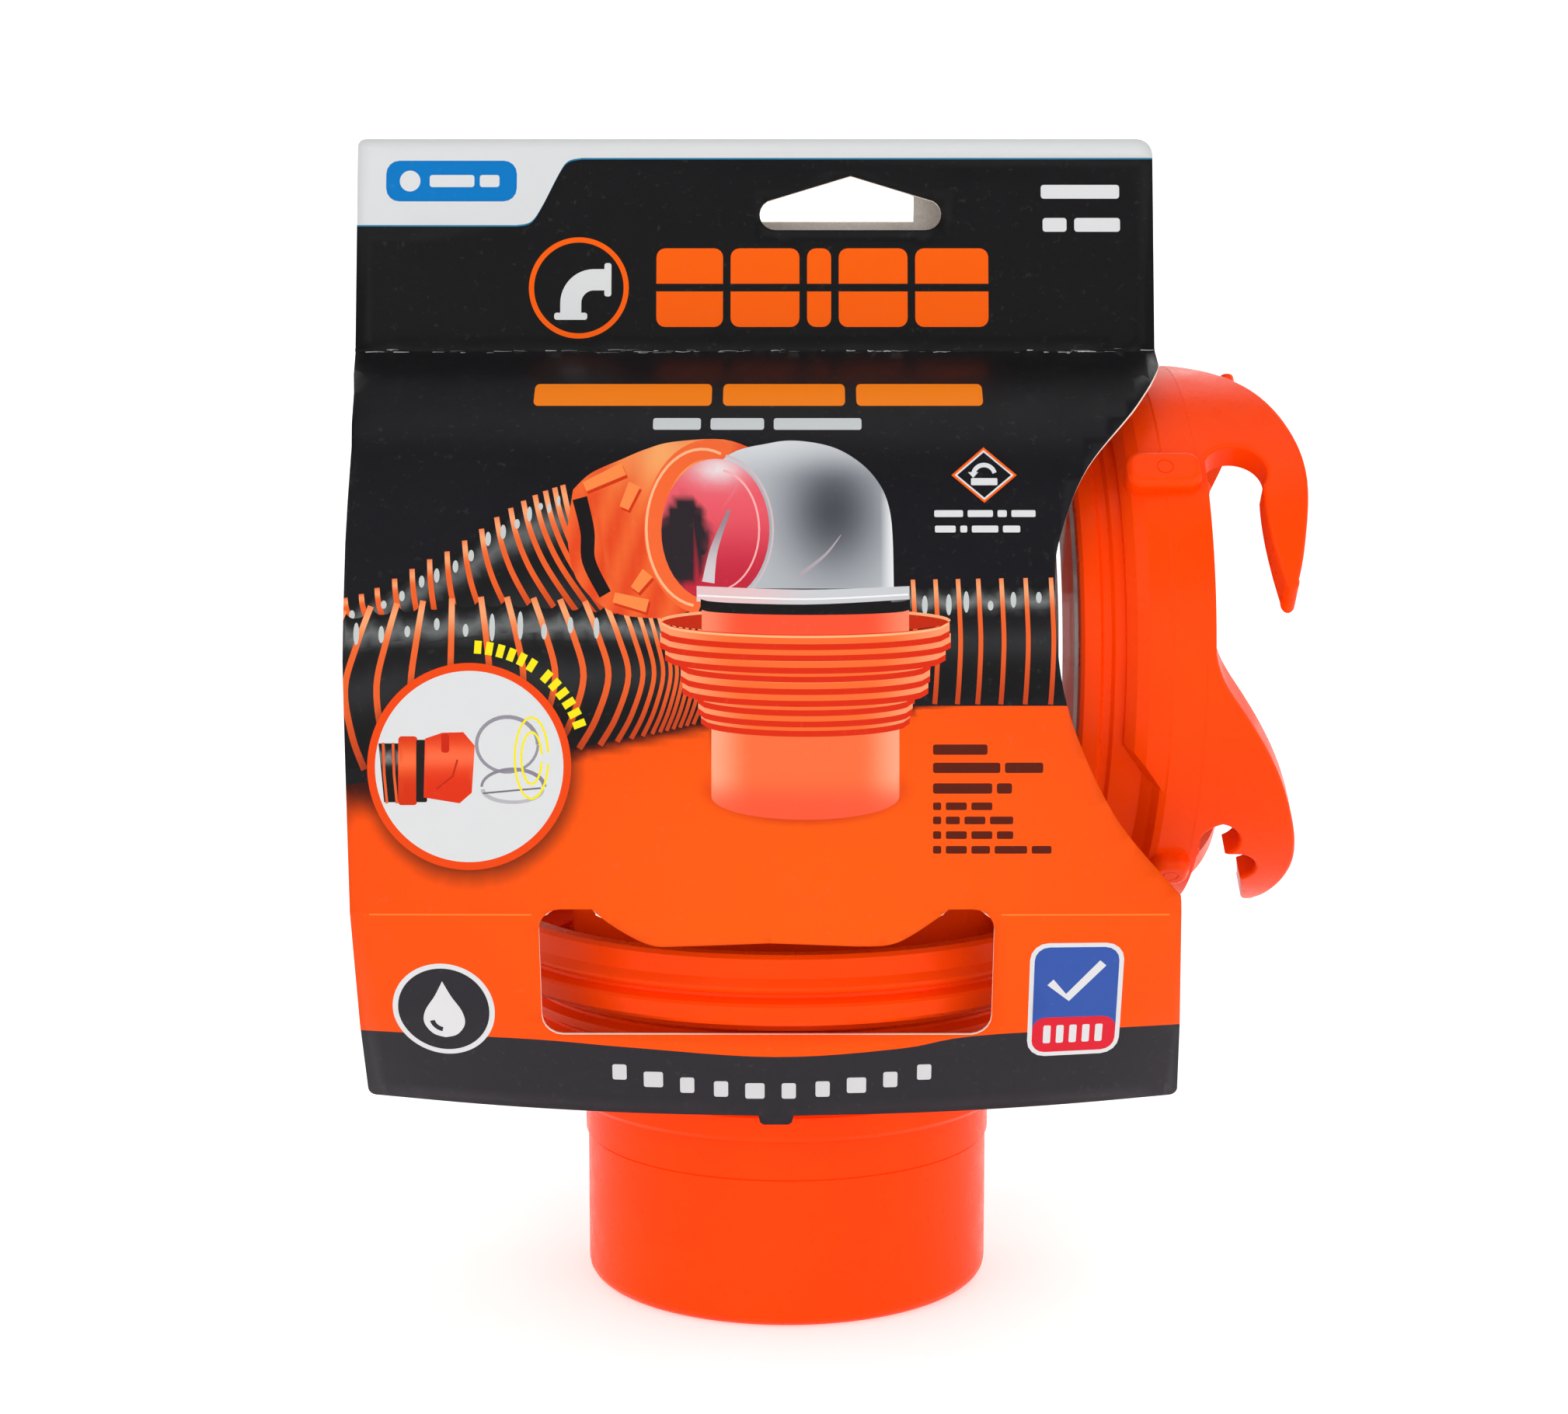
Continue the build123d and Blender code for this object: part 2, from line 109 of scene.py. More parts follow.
def curve(points, steps=6):
    """Smooth line through the points (Catmull-Rom)."""
    ends = [points[0]] + list(points) + [points[-1]]
    line = []
    for i in range(1, len(ends) - 2):
        p0, p1, p2, p3 = (np.array(p, float) for p in ends[i - 1:i + 3])
        for k in range(steps):
            t = k / steps
            q = 0.5 * (2 * p1 + (p2 - p0) * t + (2 * p0 - 5 * p1 + 4 * p2 - p3) * t * t
                       + (3 * p1 - p0 - 3 * p2 + p3) * t ** 3)
            line.append((float(q[0]), float(q[1])))
    return line + [tuple(points[-1])]


def along(line):
    """Function that gives a line's height at x, for points listed from left to right."""
    xs, zs = [p[0] for p in line], [p[1] for p in line]
    return lambda x: float(np.interp(x, xs, zs))


def stroke(line, width, end_width=None):
    """Band of even or tapering width along a line."""
    end_width = width if end_width is None else end_width
    left, right = [], []
    for i, (x, z) in enumerate(line):
        x0, z0 = line[max(i - 1, 0)]
        x1, z1 = line[min(i + 1, len(line) - 1)]
        length = hypot(x1 - x0, z1 - z0) or 1
        half = (width + (end_width - width) * i / (len(line) - 1)) / 2
        nx, nz = (z0 - z1) / length * half, (x1 - x0) / length * half
        left.append((x + nx, z + nz))
        right.append((x - nx, z - nz))
    return left + right[::-1]


def area(outline):
    pairs = zip(outline, outline[1:] + outline[:1])
    return sum(a[0] * b[1] - b[0] * a[1] for a, b in pairs) / 2


# ---- bent and printed board ----------------------------------------------------
def to_linear(colour):
    """Reflectance of an ink given as a screen colour, a little under what the screen shows."""
    return [INK * (c / 255 / 12.92 if c <= 10.31 else ((c / 255 + 0.055) / 1.055) ** 2.4) for c in colour]


def edge_x(z, edge):
    """The sleeve leans and its panels bow, so its upright edges are not quite straight."""
    return along(edge)(z)


class Sheet:
    """Board printed on its outer face: ink layers on a flat cut-out, then bent and given thickness."""

    def __init__(self, outline, holes, creases, depth, outward):
        self.layers = [(outline, None)]
        self.holes = holes
        self.creases = creases
        self.depth = depth
        self.outward = outward
        self.fine = []

    def paint(self, outline, ink):
        """ink is a colour, or a function of (x, z) that gives one."""
        self.layers.append((outline, ink if callable(ink) else lambda x, z, below: ink))

    def tint(self, outline, change):
        """change is a function of (x, z, colour below) that gives the new colour."""
        self.layers.append((outline, change))

    def grid(self):
        """Points that let the board bend smoothly, and closer ones where the ink shades."""
        left, right, low, high = -84, 76, 41, 216
        points = [(x, z) for x in np.arange(left, right, 4.1) for z in np.arange(low, high, 3.3)]
        below_fold = (0.2, 0.5, 1.0, 1.8, 3.0, 4.6, 6.6)
        points += [(x, FOLD_Z - d) for x in np.arange(left, right, 3.1) for d in below_fold]
        for x0, z0, x1, z1, step in self.fine:
            points += [(x, z) for x in np.arange(x0, x1, step) for z in np.arange(z0, z1, step)]
        return points

    def build(self, name, body, materials):
        verts, edges, faces = [], [], []
        shapes = [outline for outline, _ in self.layers] + self.holes
        for outline in shapes:
            outline = outline if area(outline) > 0 else outline[::-1]
            faces.append(list(range(len(verts), len(verts) + len(outline))))
            verts += outline
        for line in self.creases:
            edges += [(len(verts) + i, len(verts) + i + 1) for i in range(len(line) - 1)]
            verts += line
        verts += self.grid()
        flat = [Vector((float(x), float(z))) for x, z in verts]
        points, _, tris, _, _, within = delaunay_2d_cdt(flat, edges, faces, 1, 1e-4)
        cut = set(range(len(self.layers), len(shapes)))
        kept = [(t, sorted(w)) for t, w in zip(tris, within) if 0 in w and not cut & set(w)]
        used = sorted({i for t, _ in kept for i in t})
        place = {i: n for n, i in enumerate(used)}
        where = [(points[i].x, points[i].y) for i in used]
        solid = []
        for x, z in where:
            y = self.depth(x, z)
            solid.append((ACROSS * x + INWARD * y + Vector((0, 0, z))) * MM)
        turned = 1 if self.outward < 0 else -1
        mesh = bpy.data.meshes.new(name)
        mesh.from_pydata(solid, [], [[place[i] for i in t][::turned] for t, _ in kept])
        colours = []
        for (_, layers), polygon in zip(kept, mesh.polygons):
            for v in polygon.vertices:
                x, z = where[v]
                ink = (0, 0, 0)
                for layer in layers[1:]:
                    change = self.layers[layer][1]
                    ink = change(x, z, ink)
                colours += to_linear(ink) + [1]
        attribute = mesh.color_attributes.new("print", "FLOAT_COLOR", "CORNER")
        attribute.data.foreach_set("color", np.array(colours, np.float32))
        mesh.polygons.foreach_set("use_smooth", [True] * len(mesh.polygons))
        for material in materials:
            mesh.materials.append(material)
        piece = bpy.data.objects.new(name, mesh)
        bpy.context.scene.collection.objects.link(piece)
        thick = piece.modifiers.new("board", "SOLIDIFY")
        thick.thickness = BOARD * MM
        thick.offset = -1
        thick.material_offset = 1
        thick.material_offset_rim = 2
        if body:
            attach(piece, body)
        return piece


def bent(profile):
    """Depth of a smooth board on (z, depth) points, highest first."""
    line = curve(profile, 12)
    heights = [z for z, _ in line][::-1]
    depths = [d for _, d in line][::-1]
    return lambda z: float(np.interp(z, heights, depths))


HEADER = [(TOP, 0.62), (FOLD_Z + 0.1, 10.0)]
FRONT_UPPER = [(FOLD_Z - 0.4, 10.8), (175.4, 13.8), (170.6, 27.4), (161.4, 39.0), (145.3, 46.0),
               (124.0, 52.2), (CREASE_Z, 59.4)]
BACK_UPPER = [(FOLD_Z - 0.4, 9.9), (175.4, 13.4), (170.6, 30.8), (161.4, 43.0), (145.3, 49.0),
              (124.0, 53.4), (CREASE_Z, 59.4)]
LOWER = [(CREASE_Z, 59.4, 59.7), (62.4, 50.1, 56.3), (LOW, 37.5, 51.9)]


def sleeve_depth(upper, side):
    """Depth of a whole face: straight header, curved panel, and a lower panel bowed across."""
    header = bent(HEADER)
    panel = bent(upper)

    def depth(x, z):
        ripple = 0.12 * sin(x / 9.0 + z / 23.0) * ease(0, 12, abs(z - FOLD_Z))
        if z >= FOLD_Z + 0.1:
            return side * (header(z) + 0.5 * ripple)
        if z >= CREASE_Z:
            return side * (panel(min(z, FOLD_Z - 0.4)) + ripple * ease(0, 8, z - CREASE_Z))
        heights = [p[0] for p in LOWER][::-1]
        corner = np.interp(z, heights, [p[1] for p in LOWER][::-1])
        middle = np.interp(z, heights, [p[2] for p in LOWER][::-1])
        left, right = edge_x(z, LEFT_EDGE), edge_x(z, RIGHT_EDGE)
        off = (2 * x - left - right) / (right - left)
        return side * float(corner + (middle - corner) * (1 - min(1, off * off)))

    return depth


# ---- the cut-out ---------------------------------------------------------------
TAB_X, TAB_HALF, TAB_DROP = -1.9, 3.1, 1.6
SIDE_CUT = [(67.2, 174.2), (61.9, 168.1), (52.4, 157.7), (47.4, 146.0), (46.4, 137.0),
            (47.3, 122.7), (50.6, 111.0), (57.4, 97.6), (67.9, 85.4)]


def sleeve_outline(with_tab):
    top_left, top_right, low_round = 1.4, 2.9, 1.3
    right = [(edge_x(z, RIGHT_EDGE), z) for z in (60, CREASE_Z, 84.4)]
    cut = curve(SIDE_CUT, 7)[::-1]
    left = [(edge_x(z, LEFT_EDGE), z) for z in (FOLD_Z, 173, 170, 165, 161, 152, 145, 135, 125, 110, 96,
                                                CREASE_Z, 60)]
    outline = ellipse(LEFT_LOW + low_round, LOW + low_round, low_round, start=180, end=270, steps=4)
    if with_tab:
        for x, z in ((TAB_X - TAB_HALF, 0), (TAB_X - TAB_HALF + 0.3, -TAB_DROP + 0.4),
                     (TAB_X - TAB_HALF + 0.9, -TAB_DROP), (TAB_X + TAB_HALF - 0.9, -TAB_DROP),
                     (TAB_X + TAB_HALF - 0.3, -TAB_DROP + 0.4), (TAB_X + TAB_HALF, 0)):
            outline.append((x, LOW + z))
    outline += ellipse(RIGHT_LOW - low_round, LOW + low_round, low_round, start=270, end=360, steps=4)
    outline += right + cut[:-1] + [(RIGHT_TOP, 174.4), (RIGHT_TOP, FOLD_Z)]
    outline += ellipse(RIGHT_TOP - top_right, TOP - top_right, top_right, start=0, end=90, steps=6)
    outline += ellipse(LEFT_TOP + top_left, TOP - top_left, top_left, start=90, end=180, steps=4)
    return outline + left


def window(with_tongue):
    left, right, low, high, radius = -42.8, 35.8, 59.4, 83.0, 3.6
    hole = ellipse(left + radius, low + radius, radius, start=180, end=270, steps=5)
    hole += ellipse(right - radius, low + radius, radius, start=270, end=360, steps=5)
    hole += ellipse(right - radius, high - radius, radius, start=0, end=90, steps=5)
    if with_tongue:
        hole += curve([(27.9, high), (22.6, 79.0), (18.0, 76.6), (12.0, 76.3)], 4)
        hole += curve([(-3.0, 76.9), (-18.0, 76.3), (-23.6, 76.5), (-29.4, 79.6), (-33.6, high)], 4)
    hole += ellipse(left + radius, high - radius, radius, start=90, end=180, steps=5)
    return hole


def hang_hole():
    hole = ellipse(-2.1, 201.2, 2.9, 2.8, start=120, end=270, steps=8)
    hole += ellipse(25.4, 201.2, 2.9, 2.8, start=-90, end=60, steps=8)
    return hole + [(11.7, 208.2)]


def back_hang_hole():
    return [(-7.2, 199.9), (23.5, 199.9), (23.5, 204.6), (12.3, 209.2), (-7.2, 203.4)]


def crossing(z):
    left, right = edge_x(z, LEFT_EDGE), edge_x(z, RIGHT_EDGE)
    return [(left + (right - left) * i / 40, z) for i in range(41)]


# ---- ink -----------------------------------------------------------------------
BLACK, NIGHT, STRIP = (20, 19, 21), (22, 21, 26), (46, 44, 49)
PAPER, GREY, CYAN, BLUE = (224, 225, 226), (205, 208, 210), (20, 120, 160), (2, 120, 196)
TOP_BAND = (222, 223, 224)
ORANGE, AMBER, TITLE = (255, 79, 2), (255, 92, 2), (255, 98, 2)
GOLD, YELLOW, BROWN = (255, 132, 12), (250, 234, 20), (92, 26, 8)
HOSE_BLACK, HOSE_ORANGE = (16, 16, 18), (240, 98, 40)


def band(low, high):
    """Outline of a strip that runs off both sides of the sleeve."""
    return [(-90, low), (90, low), (90, high), (-90, high)]


def bars(sheet, x, z, height, widths, ink, gap=1.4):
    """A line of type reduced to plain bars, one for each word."""
    for width in widths:
        sheet.paint(rounded(x, z, x + width, z + height, min(height, width) * 0.22), ink)
        x += width + gap


def fields(sheet):
    """Black above, orange below and a dark strip along the lower edge."""
    sheet.paint(band(30, 230), lambda x, z, _: mix(NIGHT, BLACK, ease(150, 180, z)))
    shore = [(-90, 103.0), (-76, 104.2), (-58, 106.6), (-37.3, 110.2), (-12.8, 115.2), (3, 117.4),
             (21, 117.6), (90, 117.5)]
    line = curve(shore, 5)
    edge_at = along(line)

    def field(x, z, _):
        soft = 2.4 + 4.6 * ease(-30, -60, x)
        glow = exp(-((x - 4) / 60) ** 2 - ((z - 88) / 34) ** 2)
        base = mix(ORANGE, AMBER, glow)
        shade = 1 if x > 22 else ease(0, soft, edge_at(x) - z)
        return mix((60, 14, 4), base, shade)

    sheet.paint(line + [(90, 30), (-90, 30)], field)
    low = curve([(-90, 58.6), (-48.8, 58.4), (-28, 57.2), (-2, 55.6), (20, 57.0), (37.2, 59.4),
                 (90, 60.1)], 6)
    sheet.paint(low + [(90, 30), (-90, 30)], STRIP)


def header_print(sheet):
    """Light top band that widens into a tab at the left, a blue label, title and emblem."""
    for grow, ink in ((0.28, CYAN), (0, TOP_BAND)):
        step = curve([(-49.6, 199.3 - grow), (-47.0, 199.9 - grow), (-45.0, 202.6 - grow / 2),
                      (-41.9, 208.6 - grow / 2), (-40.2, 210.9 - grow), (-37.6, 211.5 - grow)], 5)
        sheet.paint([(-90, 199.3 - grow)] + step + [(90, 211.5 - grow), (90, 230), (-90, 230)], ink)
    sheet.paint(rounded(-73.6, 203.6, -49.6, 211.0, 2.4), BLUE)
    sheet.paint(ellipse(-69.2, 207.3, 1.9, steps=24), PAPER)
    bars(sheet, -65.6, 206.2, 2.2, (8.2, 3.6), PAPER, gap=1.0)
    for x, width in ((-23.9, 12.2), (-10.3, 12.6), (3.7, 4.4), (9.5, 12.6), (23.5, 13.4)):
        sheet.paint(rounded(x, 180.9, x + width, 195.1, 1.6), TITLE)
        sheet.paint(rounded(x, 187.3, x + width, 188.7, 0.1), BLACK)
    emblem(sheet, -38.1, 187.95, 9.15, TITLE, BLACK, elbow_mark)
    bars(sheet, 46.6, 204.1, 2.5, (14.4,), PAPER)
    bars(sheet, 46.9, 198.1, 2.5, (4.4, 8.4), PAPER)


def emblem(sheet, x, z, radius, rim, ground, mark):
    sheet.paint(ellipse(x, z, radius, steps=64), rim)
    sheet.paint(ellipse(x, z, radius - 0.95, steps=64), ground)
    mark(sheet, x, z, radius)


def elbow_mark(sheet, x, z, radius):
    """Plain pictogram of a bent pipe with a flange at each end."""
    bend = ellipse(x + 0.30 * radius, z - 0.30 * radius, 0.46 * radius, start=90, end=180, steps=12)
    path = [(x + 0.52 * radius, z + 0.16 * radius)] + bend + [(x - 0.16 * radius, z - 0.5 * radius)]
    sheet.paint(stroke(path, 0.42 * radius), PAPER)
    for cx, cz, tall in ((x + 0.58 * radius, z + 0.16 * radius, True),
                         (x - 0.16 * radius, z - 0.56 * radius, False)):
        wide, high = (0.07, 0.33) if tall else (0.33, 0.07)
        sheet.paint(rounded(cx - wide * radius, cz - high * radius, cx + wide * radius,
                            cz + high * radius, 0.05 * radius), PAPER)


def drop_mark(sheet, x, z, radius):
    """Plain water drop with a highlight."""
    half = [(0, 0.62), (0.16, 0.30), (0.36, -0.02), (0.40, -0.30), (0.24, -0.54), (0, -0.62)]
    side = curve([(x + a * radius, z + b * radius) for a, b in half], 5)
    other = [(2 * x - px, pz) for px, pz in side][::-1]
    sheet.paint(side + other[1:-1], PAPER)
    glint = ellipse(x, z - 0.2 * radius, 0.24 * radius, start=190, end=260, steps=8)
    sheet.paint(stroke(glint, 0.1 * radius), STRIP)


def captions(sheet):
    """Lines under the fold, the turn pictogram, and the block of small print."""
    bars(sheet, -44.8, 167.9, 3.5, (31.5, 21.6, 22.4), GOLD, gap=2.0)
    bars(sheet, -23.5, 164.0, 1.9, (8.4, 9.4, 15.4), GREY, gap=1.7)
    cx, cz = 34.35, 156.45
    for half_x, half_z, ink in ((5.7, 4.65, TITLE), (5.15, 4.2, PAPER), (4.7, 3.8, NIGHT)):
        sheet.paint([(cx + half_x, cz), (cx, cz + half_z), (cx - half_x, cz), (cx, cz - half_z)], ink)
    sheet.paint(rounded(cx - 2.3, cz - 1.7, cx + 2.3, cz - 0.5, 0.2), PAPER)
    sheet.paint(stroke(ellipse(cx, cz - 0.1, 1.9, 1.8, start=15, end=165, steps=14), 0.75), PAPER)
    sheet.paint([(cx - 2.8, cz + 0.5), (cx - 1.0, cz + 0.5), (cx - 1.9, cz - 0.45)], PAPER)
    bars(sheet, 25.6, 149.4, 1.15, (5.0, 4.4, 1.6, 4.2), PAPER, gap=0.8)
    bars(sheet, 25.7, 146.8, 1.15, (3.6, 1.2, 4.6, 3.0), PAPER, gap=0.8)
    lines = ((109.3, 1.75, (9.4,)), (106.2, 1.75, (11.6, 6.6)), (102.7, 1.75, (10.2, 2.6)),
             (99.9, 1.3, (1.4, 3.6, 3.6)), (97.5, 1.3, (1.4, 2.4, 3.6, 4.0)),
             (95.0, 1.3, (1.4, 3.6, 3.6, 2.8)), (92.5, 1.3, (1.4, 3.6, 3.2, 5.6, 3.4)))
    for z, height, widths in lines:
        bars(sheet, 25.2, z, height, widths, BROWN, gap=0.8)


def hose_bands(sheet, rings, top, low, belly, width):
    """Spiral ribs across a hose: each runs from the top line over the belly to the low line."""
    for x in rings:
        zt, shift, lean = top(x), belly(x), low(x)[0]
        zl = low(x + lean)[1]
        line = curve([(x, zt + 0.5), (x + 0.55 * shift + 0.2 * lean, zt - 0.22 * (zt - zl)),
                      (x + shift + 0.5 * lean, (zt + zl) / 2),
                      (x + 0.6 * shift + 0.8 * lean, zl + 0.2 * (zt - zl)), (x + lean, zl - 0.3)], 5)
        wide = width(x)

        def rib(px, pz, _, zt=zt, zl=zl):
            v = (pz - zl) / (zt - zl)
            lit = exp(-((v - 0.93) / 0.12) ** 2)
            return mix(mix((196, 66, 22), HOSE_ORANGE, ease(0, 0.5, v)), (255, 190, 140), 0.75 * lit)

        sheet.paint(stroke(line, wide * 0.9, wide), rib)


def hose_skin(top, low, gloss=1.0):
    """Black hose wall with a bright line near its top and a weak one lower down."""
    def skin(x, z, _):
        v = (z - low(x)) / max(1, top(x) - low(x))
        lit = 0.42 * exp(-((v - 0.86) / 0.07) ** 2) + 0.12 * exp(-((v - 0.5) / 0.16) ** 2)
        return mix(HOSE_BLACK, (214, 218, 216), gloss * lit)
    return skin


def glints(sheet, rings, top, seed, size):
    """Small bright reflections in the folds between ribs."""
    chance = random.Random(seed)
    for a, b in zip(rings, rings[1:]):
        x = a + (b - a) * chance.uniform(0.4, 0.6)
        z = top(x) - chance.uniform(1.8, 3.2) * size
        tall = chance.uniform(0.7, 1.9) * size
        wide = min(0.5, 0.22 * (b - a))
        sheet.paint(ellipse(x, z, wide, tall, steps=12), (200, 205, 203))


def scallops(line, rings, rise):
    """A hose's outline, raised at each rib."""
    base = along(line)

    def top(x):
        near = min(abs(x - r) for r in rings)
        return base(x) + rise * (exp(-(near / 0.9) ** 2) - 0.5)

    return top


def picture_hoses(sheet):
    back_line = curve([(-84, 133.6), (-76.5, 134.8), (-72, 136.0), (-67, 138.5), (-62.5, 141.0),
                       (-58.9, 142.6), (-54, 145.7), (-49.2, 149.2), (-43.4, 152.3), (-37, 154.4)], 5)
    rings = [-76.4, -73.6, -70.9, -67.9, -64.9, -61.9, -58.9, -55.9, -53.0, -50.4, -48.0, -45.8,
             -43.8, -42.0, -40.4, -39.0]
    top = scallops(back_line, rings, 1.0)
    edge = [(x, top(x)) for x in np.arange(-84, -36.2, 0.5)]
    sheet.paint(edge + [(-33, 150), (-29, 132), (-84, 126)], hose_skin(top, lambda x: top(x) - 19))

    def slant(x):
        return 1.4 + 11.0 * ease(-62, -42, x)

    hose_bands(sheet, rings, top, lambda x: (slant(x), 131.5), lambda x: -0.16 * slant(x),
               lambda x: 1.0)
    glints(sheet, rings, top, 3, 0.7)

    right_rings = [21.8, 25.7, 29.6, 33.1, 37.1, 41.3, 45.7, 50.0]
    right_top = scallops([(15, 137.8), (60, 138.4)], right_rings, 1.0)
    right_low = scallops([(15, 118.7), (60, 118.5)], right_rings, -1.0)
    upper = [(x, right_top(x)) for x in np.arange(18, 56, 0.5)]
    lower = [(x, right_low(x)) for x in np.arange(56, 18, -0.5)]
    sheet.paint(upper + lower, hose_skin(right_top, right_low, 1.2))
    hose_bands(sheet, right_rings, right_top, lambda x: (-0.2, right_low(x)), lambda x: 0.5,
               lambda x: 0.85)
    glints(sheet, right_rings, right_top, 5, 1.0)

    rings = [-76.5, -71.9, -67.4, -62.9, -57.9, -52.9, -48.4, -43.8, -39.2, -34.9]
    step = 3.6
    while rings[-1] < -15.5:
        rings.append(rings[-1] + step)
        step = max(1.15, step * 0.82)
    line = curve([(-84, 130.8), (-76.5, 132.6), (-67.4, 133.8), (-52.9, 134.9), (-39.2, 134.5),
                  (-30.1, 133.6), (-22.4, 132.2), (-12, 129.0)], 5)
    low_line = curve([(-84, 106.0), (-76, 106.8), (-58, 108.2), (-37.3, 110.4), (-23.7, 113.0),
                      (-10, 116.2)], 5)
    top = scallops(line, rings, 1.2)
    low = along(low_line)
    edge = [(x, top(x)) for x in np.arange(-84, -11, 0.5)]
    sheet.paint(edge + low_line[::-1], hose_skin(top, low, 1.1))

    def belly(x):
        return -4.2 + 8.8 * ease(-76, -40, x) - 2.6 * ease(-34, -16, x)

    hose_bands(sheet, rings, top, lambda x: (-0.9, low(x)), belly,
               lambda x: 1.15 - 0.5 * ease(-38, -18, x))
    glints(sheet, rings[:11], top, 7, 1.3)


def picture_coupler(sheet):
    """Printed picture of the hose's orange coupler, left of the dome."""
    body = curve([(-37.2, 154.0), (-34.1, 156.8), (-28.6, 159.2), (-24.6, 160.8), (-19.9, 162.0),
                  (-11.0, 162.4), (-5.0, 160.4)], 5)
    body += curve([(-12, 150), (-11, 137.2), (-17.0, 133.6), (-22.0, 132.4), (-30.4, 133.6),
                   (-36.4, 139.0), (-38.2, 146.6)], 5)

    def shell(x, z, _):
        light = exp(-((x + 21) / 9) ** 2 - ((z - 160) / 7) ** 2)
        fold = 0.5 + 0.5 * sin((x - 0.35 * z) * 1.1)
        return mix(mix((232, 72, 30), (252, 122, 56), fold * 0.6), (255, 190, 120), 0.8 * light)

    sheet.paint(body, shell)
    band = curve([(-36.0, 152.6), (-34.6, 147.0), (-34.3, 142.0), (-31.4, 136.4)], 6)
    sheet.paint(stroke(band, 2.6, 2.2), (24, 20, 22))
    for x, z, long, turn in ((-31.8, 156.0, 7.4, 24), (-27.4, 152.9, 4.4, 66), (-27.0, 135.2, 6.0, -14),
                             (-25.2, 138.6, 3.6, 52)):
        dx, dz = cos(radians(turn)) * long / 2, sin(radians(turn)) * long / 2
        lug = stroke([(x - dx, z - dz), (x, z), (x + dx, z + dz)], 1.7, 2.2)
        sheet.paint([(px + 0.3, pz - 0.5) for px, pz in lug], (214, 52, 16))
        sheet.paint(lug, lambda x, z, _: (255, 140, 72))
    collar = ellipse(-13.6, 147.6, 9.6, 13.2, start=70, end=262, steps=26)
    sheet.paint(stroke(collar, 3.2), (248, 106, 52))
    sheet.paint(stroke([(x - 1.2, z) for x, z in collar], 0.45), (255, 186, 138))


def picture_elbow(sheet):
    """Printed picture of the clear dome elbow on its flange."""
    dome = [(-15.4, 137.4)] + curve([(-16.4, 150), (-11.0, 159.2), (-3.0, 161.8), (3.0, 162.1),
                                     (9.6, 160.5), (15.2, 156.2), (18.0, 149.8), (18.5, 137.4)], 7)

    def clear(x, z, _):
        dark = exp(-((x - 8.0) / 8.2) ** 2 - ((z - 150.5) / 10.0) ** 2)
        rim = ease(2.6, 0.2, 18.6 - x)
        base = mix((186, 190, 195), (70, 72, 80), 0.95 * dark)
        return mix(base, (236, 238, 240), max(rim, ease(155, 163, z) * 0.7))

    sheet.paint(dome, clear)
    mouth = ellipse(-12.4, 147.2, 9.4, 12.0, steps=44)

    def inside(x, z, _):
        red = mix((236, 92, 104), (196, 40, 62), ease(152, 138, z))
        hole = 1 - ease(0.85, 1.0, hypot((x + 17.8) / 4.6, (z - 145.5) / 8.0))
        pale = exp(-((x + 12) / 5) ** 2 - ((z - 157.5) / 2.6) ** 2)
        return mix(mix(red, (44, 36, 42), hole), (238, 226, 228), pale)

    sheet.paint(mouth, inside)
    sheet.paint(stroke(mouth + mouth[:1], 0.5), (240, 222, 224))
    for rx, rz, tone in ((7.6, 10.2, (252, 176, 176)), (10.0, 12.7, (212, 190, 194))):
        arc = ellipse(-12.4, 147.2, rx, rz, start=-80, end=80, steps=20)
        sheet.paint(stroke(arc, 0.28, 0.4), tone)
    sheet.paint(stroke(curve([(-13.6, 138.4), (-12.6, 144.0), (-10.0, 150.6)], 6), 2.2, 0.5),
                lambda x, z, _: mix((214, 204, 208), (150, 132, 140), ease(140, 150, z)))
    sheet.paint(stroke(curve([(2.0, 139.5), (6.6, 143.0), (9.4, 146.4)], 5), 0.8, 0.1), (176, 166, 172))
    flange = [(-15.6, 137.8), (-15.6, 135.2)] + curve([(-15.6, 135.2), (3, 134.7), (21.2, 135.6)], 5)
    flange += [(21.2, 137.8)]
    sheet.paint(flange + curve([(21.2, 137.8), (3, 137.2), (-15.6, 137.8)], 5)[1:-1],
                lambda x, z, _: mix((232, 198, 200), (206, 208, 212), ease(-8, 6, x)))
    sheet.paint(stroke(curve([(-15.4, 136.2), (3, 135.6), (21.0, 136.4)], 6), 0.3), (248, 244, 244))


def arc_band(half, z, sag, thick):
    """Front half of a ring seen a little from above, about the pictured adapter's axis."""
    axis = 3.2
    spread = [i / 16 - 1 for i in range(33)]
    upper = [(axis + half * u, z - sag * sqrt(1 - u * u)) for u in spread]
    lower = [(axis + half * u, z - thick - sag * sqrt(1 - u * u)) for u in spread]
    return lower + upper[::-1]


